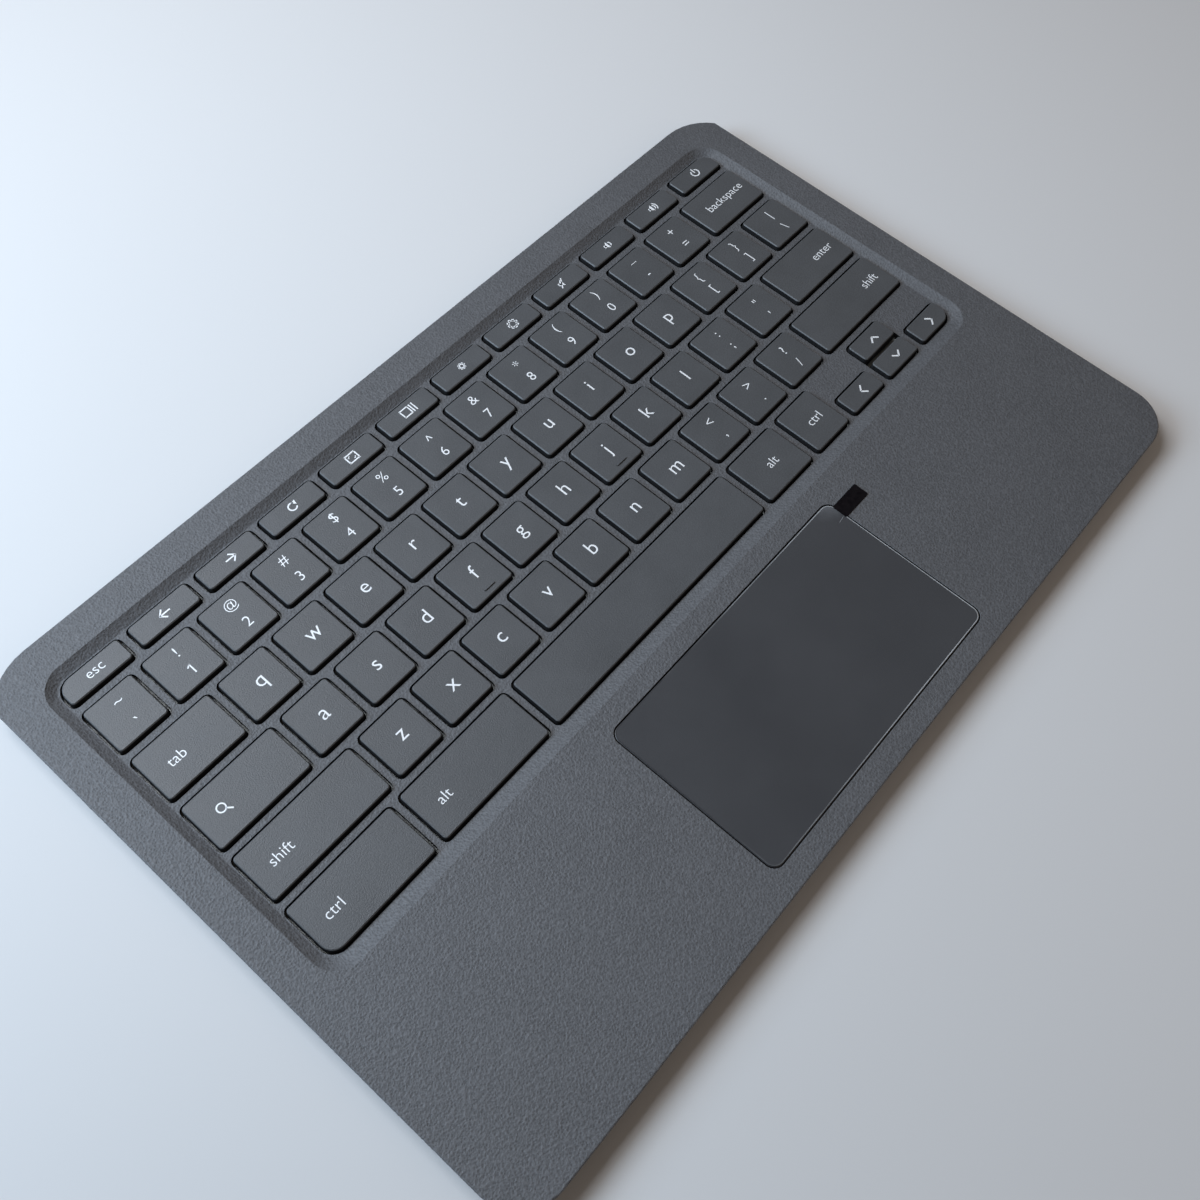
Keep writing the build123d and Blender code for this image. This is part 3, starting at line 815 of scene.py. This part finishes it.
# Painted highlight on the edge and crease: whitish, more opaque towards the right and front, broken up by
# noise.
film_edge_highlight, shader, place = new_finish("film_edge_painted_highlight")
across = place.node("ShaderNodeSeparateXYZ", {}, {"Vector": place}, "X")
along = Wire(across.output.node.outputs["Y"])
highlight_breaks = place.noise(90.0, 3.0)
place.feed(shader, {
    "Base Color": highlight_breaks.tones(0.3, (0.5, 0.51, 0.52), 0.7, (0.7, 0.71, 0.72)),
    "Roughness": 0.3 + 0.2 * highlight_breaks,
    "Alpha": 8.0 * across - 6.0 * along + 0.3 * highlight_breaks - 0.16,
})
piece = finished("pad_film", film, "touchpad", "film", clear_film, film_edge_highlight)
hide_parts("touchpad_film")

tab_low, tab_high = (1000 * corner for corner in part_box("film_pull_tab"))
tab_plan = (tab_low.x, tab_high.x, tab_low.y, tab_high.y)
tab = bmesh.new()
plate = round_plate(tab, tab_plan, tab_low.z, 0, 0.4, segments=4)
sink(tab, [plate], [(0.001, tab_high.z - tab_low.z - 0.04), (0.04, 0.04)])
close_level(tab, tab_low.z)
black_tape, shader, place = new_finish("black_tape")
weave = place.noise(900.0, 2.0)
place.feed(shader, {
    "Base Color": weave.tones(0.3, (0.004, 0.003, 0.004), 0.7, (0.009, 0.007, 0.008)),
    "Roughness": 0.7 + 0.15 * weave,
    "Specular IOR Level": 0.06,
    "Normal": weave.bumped(0.2, 0.00003),
})
piece = finished("pull_tab", tab, "touchpad", "tab", black_tape)
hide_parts("film_pull_tab")


# Inner parts: a rolled sheet-metal base plate with the printed contact membrane on it, and below the
# touchpad its board and a plated bracket. Their solids keep their shape and take a finish here.
def refinish(node, finish):
    """Gives a solid that stays as it is its own finish."""
    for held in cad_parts[node].material_slots:
        held.material = finish


rolled_sheet, shader, place = new_finish("rolled_sheet_metal")
stretched = place.node("ShaderNodeMapping", {}, {"Vector": place, "Scale": (0.04, 1.0, 1.0)}, "Vector")
streaks = stretched.noise(2200.0, 4.0, Roughness=0.7)
cloud = place.noise(40.0, 3.0)
place.feed(shader, {
    "Base Color": (0.5 * streaks + 0.5 * cloud).tones(0.3, (0.46, 0.47, 0.49), 0.75, (0.62, 0.63, 0.65)),
    "Metallic": 1.0,
    "Roughness": 0.34 + 0.2 * streaks,
    "Normal": streaks.bumped(0.15, 0.00003),
})
refinish("keyboard_base_plate", rolled_sheet)

plated_sheet, shader, place = new_finish("plated_bracket_steel")
spangle = place.node("ShaderNodeTexVoronoi", {}, {"Vector": place, "Scale": 900.0}, "Distance")
cloud = place.noise(500.0, 3.0)
place.feed(shader, {
    "Base Color": (0.6 * spangle + 0.4 * cloud).tones(0.1, (0.55, 0.55, 0.56), 0.8, (0.64, 0.64, 0.65)),
    "Metallic": 1.0,
    "Roughness": 0.36 + 0.08 * spangle,
})
refinish("touchpad_bracket", plated_sheet)

printed_film, shader, place = new_finish("printed_membrane_film")
tracks = place.node("ShaderNodeTexWave", {"bands_direction": "Y"},
                    {"Vector": place, "Scale": 90.0, "Distortion": 1.5, "Detail": 1.0}, "Fac")
place.feed(shader, {
    "Base Color": tracks.tones(0.82, (0.55, 0.58, 0.56), 0.88, (0.32, 0.33, 0.34)),
    "Roughness": 0.32 + 0.1 * tracks,
})
refinish("membrane_sheet", printed_film)

board_lacquer, shader, place = new_finish("green_board_lacquer")
tracks = place.node("ShaderNodeTexVoronoi", {"feature": "DISTANCE_TO_EDGE"},
                    {"Vector": place, "Scale": 260.0}, "Distance")
cloud = place.noise(120.0, 2.0)
place.feed(shader, {
    "Base Color": tracks.tones(0.04, (0.03, 0.16, 0.075), 0.07, (0.012, 0.085, 0.04)),
    "Roughness": 0.24 + 0.14 * cloud,
})
refinish("touchpad_board", board_lacquer)


# Studio: a pale floor whose colour grows paler towards the right as painted light that evens out the lamps'
# falloff, a bluish lamp low at the back left that draws the edges, a large window-like panel high behind,
# a faint warm fill from the front, and the camera over the front left corner.
floor_mesh = bmesh.new()
bmesh.ops.create_grid(floor_mesh, x_segments=1, y_segments=1, size=3.0)
bmesh.ops.translate(floor_mesh, vec=(0, 0, -0.0001), verts=floor_mesh.verts)
sheet = bpy.data.meshes.new("floor")
floor_mesh.to_mesh(sheet)
floor_mesh.free()
floor = bpy.data.objects.new("floor", sheet)
bpy.context.scene.collection.objects.link(floor)
floor_paint, shader, place = new_finish("pale_floor")
cloud = place.noise(3.0, 2.0)
across = place.node("ShaderNodeSeparateXYZ", {}, {"Vector": place}, "X")
# Paler towards the right: painted light that makes up for the lamps' falloff across the floor.
place.feed(shader, {
    "Base Color": (0.45 + 1.5 * across + 0.1 * cloud).tones(0.0, (0.6, 0.6, 0.6), 1.0, (0.93, 0.92, 0.91)),
    "Roughness": 0.8 + 0.1 * cloud,
})
sheet.materials.append(floor_paint)


def soft_light(name, shape, size, energy, colour, location, target):
    """A flat lamp that faces a point."""
    light = bpy.data.lights.new(name, "AREA")
    light.shape, light.size, light.energy, light.color = shape, size, energy, colour
    lamp = bpy.data.objects.new(name, light)
    lamp.location = location
    lamp.rotation_euler = (Vector(target) - Vector(location)).to_track_quat("-Z", "Y").to_euler()
    bpy.context.scene.collection.objects.link(lamp)


soft_light("edge_lamp", "DISK", 0.32, 2.9, (0.6, 0.79, 1.0), (-0.42, 0.34, 0.34), (0.02, 0.0, 0.0))
soft_light("window_panel", "SQUARE", 0.45, 3.7, (0.87, 0.91, 0.97), (-0.15, 0.45, 0.6), (-0.1, 0.05, 0.0))
soft_light("front_fill", "SQUARE", 0.5, 0.4, (1.0, 0.86, 0.76), (0.1, -0.55, 0.45), (0.0, 0.0, 0.0))

world = bpy.data.worlds.new("studio")
world.use_nodes = True
seen = Wire(world.node_tree.nodes.new("ShaderNodeLightPath").outputs["Is Camera Ray"])
seen.feed(world.node_tree.nodes["Background"], {
    "Color": seen.tones(0.0, (1.0, 0.85, 0.72), 1.0, (0.85, 0.87, 0.9)),
    "Strength": 0.09 + 0.71 * seen,
})
bpy.context.scene.world = world

camera_data = bpy.data.cameras.new("camera")
camera_data.sensor_width, camera_data.lens, camera_data.clip_start = 36.0, 36.285, 0.01
camera = bpy.data.objects.new("camera", camera_data)
to_right = Vector((0.6510413, -0.75636984, 0.06363881))
to_top = Vector((0.65246842, 0.6005018, 0.4622581))
to_back = Vector((-0.3878533, -0.25942679, 0.88445891))
camera.matrix_world = Matrix.Translation((-0.148885, -0.091821, 0.299660)) @ Matrix(
    (to_right, to_top, to_back)).transposed().to_4x4()
bpy.context.scene.collection.objects.link(camera)
bpy.context.scene.camera = camera
bpy.context.scene.view_settings.view_transform = "Standard"
